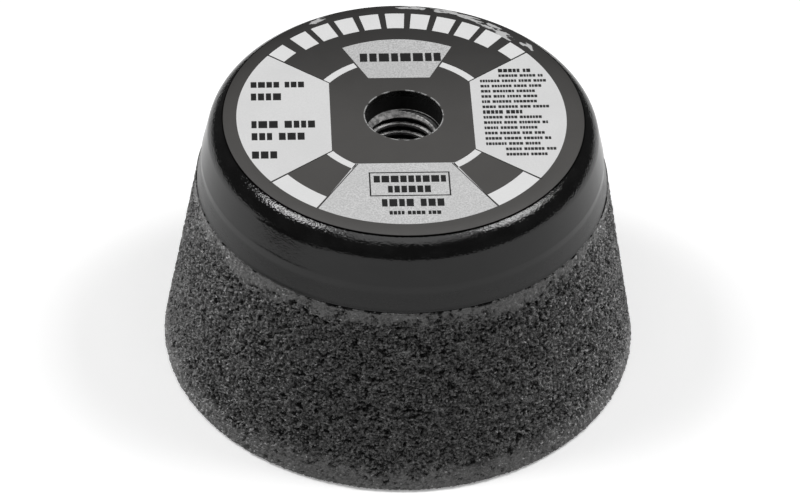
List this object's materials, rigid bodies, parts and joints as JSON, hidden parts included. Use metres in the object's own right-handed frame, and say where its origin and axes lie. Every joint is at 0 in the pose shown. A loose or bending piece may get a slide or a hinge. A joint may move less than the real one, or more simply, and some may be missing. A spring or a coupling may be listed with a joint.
{
  "type": "angle grinder cup grinding stone",
  "caption": "Flaring cup grinding stone for an angle grinder: a bonded abrasive cup in a painted steel back shell, with a threaded steel bushing, a flange washer and a printed label disc.",
  "frame": {"origin": "centre of the grinding face, on the spindle axis, on the surface that the stone stands on", "axes": "+Z is the spindle axis and points out of the back towards the grinder; +Y points to the curved title band of the label, +X to its right-hand panel"},
  "size_m": [0.1022, 0.1022, 0.0598],
  "materials": {
    "label": "satin foil-faced label, dark grey and silver print",
    "shell_paint": "semi-gloss black paint on drawn steel",
    "glass_mesh": "open-weave glass fibre soaked in dark resin",
    "fine_core": "fine-grit resin-bonded silicon carbide",
    "abrasive": "coarse, pitted resin-bonded silicon carbide",
    "washer_steel": "plain stamped steel",
    "bushing_steel": "turned steel, dark in the counterbore and bright on the thread"
  },
  "bodies": {
    "root": {"label_disc": "label", "back_shell": "shell_paint", "upper_mesh_disc": "glass_mesh", "hub_core": "fine_core", "abrasive_cup": "abrasive", "lower_mesh_disc": "glass_mesh", "flange_washer": "washer_steel", "threaded_bushing": "bushing_steel"}
  },
  "joints": []
}
